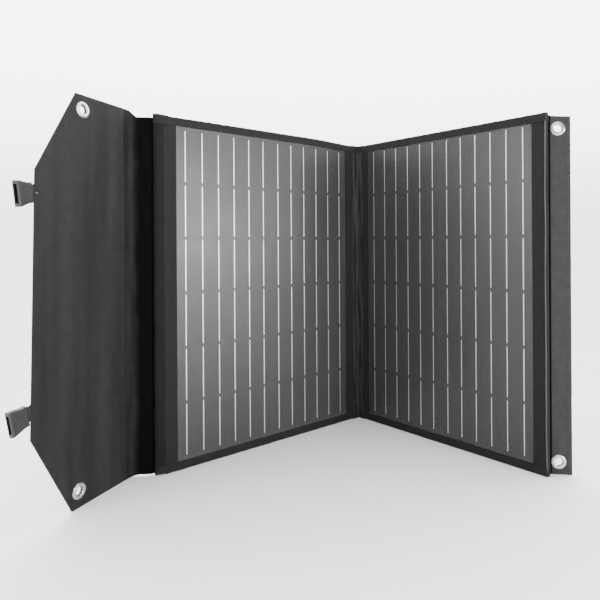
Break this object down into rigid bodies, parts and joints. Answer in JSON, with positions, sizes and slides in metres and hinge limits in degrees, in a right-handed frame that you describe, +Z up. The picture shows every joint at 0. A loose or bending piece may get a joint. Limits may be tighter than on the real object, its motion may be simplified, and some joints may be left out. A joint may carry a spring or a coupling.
{
  "type": "folding solar suitcase kit",
  "caption": "Two-wing folding solar panel in black cloth, standing half open, with a wrap-round buckle flap, eyelets, carry handle and zipped pocket.",
  "frame": {"origin": "centre of the bounding box at floor level, with the kit standing on its lower edges", "axes": "+Z up; the solar faces look towards -Y; +X to the right as the faces are seen"},
  "size_m": [0.7272, 0.441, 0.551],
  "materials": {
    "cover_cloth": "matte woven",
    "spine_cloth": "matte woven",
    "binding_tape": "ribbed matte",
    "webbing": "ribbed matte",
    "solar_cells": "satin",
    "tinned_ribbon": "satin",
    "clear_film": "satin",
    "backsheet": "matte",
    "stiffener": "matte",
    "eyelet_metal": "polished",
    "zip_metal": "satin",
    "zip_teeth": "matte",
    "black_plastic": "fine grain",
    "buckle_plastic": "satin",
    "grip_rubber": "matte"
  },
  "bodies": {
    "left_wing": {"left_board": "stiffener", "left_backsheet": "backsheet", "left_cells": "solar_cells", "left_ribbons": "tinned_ribbon", "left_film": "clear_film", "left_bezel": "cover_cloth", "left_back_cover": "cover_cloth", "left_fold_edge": "cover_cloth", "left_edge_roll": "cover_cloth", "left_top_binding": "binding_tape", "left_bottom_binding": "binding_tape", "left_fold_face_cloth": "cover_cloth", "left_fold_back_cloth": "cover_cloth", "spine_root_cloth": "cover_cloth", "pocket": "cover_cloth", "zip_tape": "binding_tape", "zip_teeth": "zip_teeth", "junction_box": "black_plastic", "junction_lid": "black_plastic", "lead_gland": "black_plastic"},
    "right_wing": {"right_board": "stiffener", "right_backsheet": "backsheet", "right_cells": "solar_cells", "right_ribbons": "tinned_ribbon", "right_film": "clear_film", "right_bezel": "cover_cloth", "right_back_cover": "cover_cloth", "right_fold_edge": "cover_cloth", "right_edge_roll": "cover_cloth", "right_top_binding": "binding_tape", "right_bottom_binding": "binding_tape", "right_fold_face_cloth": "cover_cloth", "right_fold_back_cloth": "cover_cloth", "strip_root_cloth": "cover_cloth", "strap_patches": "webbing"},
    "spine": {"spine_cloth": "spine_cloth", "upper_handle_loop": "webbing", "lower_handle_loop": "webbing"},
    "flap": {"flap_face_cloth": "cover_cloth", "flap_board": "stiffener", "flap_back_cloth": "cover_cloth", "flap_upper_eyelet": "eyelet_metal", "flap_lower_eyelet": "eyelet_metal", "tab_patches": "webbing"},
    "eyelet_strip": {"strip_cloth": "cover_cloth", "strip_upper_eyelet": "eyelet_metal", "strip_lower_eyelet": "eyelet_metal"},
    "upper_buckle": {"upper_tab": "webbing", "upper_socket": "buckle_plastic"},
    "lower_buckle": {"lower_tab": "webbing", "lower_socket": "buckle_plastic"},
    "upper_catch": {"upper_strap": "webbing", "upper_plug": "buckle_plastic"},
    "lower_catch": {"lower_strap": "webbing", "lower_plug": "buckle_plastic"},
    "handle": {"handle_rope": "webbing", "handle_grip": "grip_rubber"},
    "zip_slider": {"zip_slider": "zip_metal", "zip_pull": "zip_metal"}
  },
  "joints": [
    {"name": "wing_fold", "type": "hinge", "parent": "left_wing", "child": "right_wing", "pos_m": [0.04654, 0.21871, 0.271], "axis": [0, 0, 1], "range_deg": [-95.6, 84.4]},
    {"name": "spine_fold", "type": "hinge", "parent": "left_wing", "child": "spine", "pos_m": [-0.26764, -0.03237, 0.271], "axis": [0, 0, -1], "range_deg": [-127.04, 15]},
    {"name": "flap_fold", "type": "hinge", "parent": "spine", "child": "flap", "pos_m": [-0.29849, -0.03415, 0.271], "axis": [0, 0, -1], "range_deg": [-22, 68]},
    {"name": "strip_fold", "type": "hinge", "parent": "right_wing", "child": "eyelet_strip", "pos_m": [0.33025, -0.03455, 0.271], "axis": [0, 0, -1], "range_deg": [-143.34, 36.66]},
    {"name": "upper_buckle_swing", "type": "hinge", "parent": "flap", "child": "upper_buckle", "pos_m": [-0.34958, -0.18509, 0.4135], "axis": [0, 0, 1], "range_deg": [-55, 55]},
    {"name": "lower_buckle_swing", "type": "hinge", "parent": "flap", "child": "lower_buckle", "pos_m": [-0.35153, -0.19086, 0.147], "axis": [0, 0, 1], "range_deg": [-55, 55]},
    {"name": "upper_strap_lift", "type": "hinge", "parent": "right_wing", "child": "upper_catch", "pos_m": [0.12814, 0.15923, 0.4135], "axis": [0, 0, 1], "range_deg": [0, 85]},
    {"name": "lower_strap_lift", "type": "hinge", "parent": "right_wing", "child": "lower_catch", "pos_m": [0.12814, 0.15923, 0.147], "axis": [0, 0, 1], "range_deg": [0, 85]},
    {"name": "handle_swing", "type": "hinge", "parent": "spine", "child": "handle", "pos_m": [-0.28302, -0.02624, 0.275], "axis": [0, 0, 1], "range_deg": [-25, 55]},
    {"name": "zip_slide", "type": "slide", "parent": "left_wing", "child": "zip_slider", "axis": [-0.7622, -0.6473, 0], "range_m": [0, 0.158]}
  ]
}
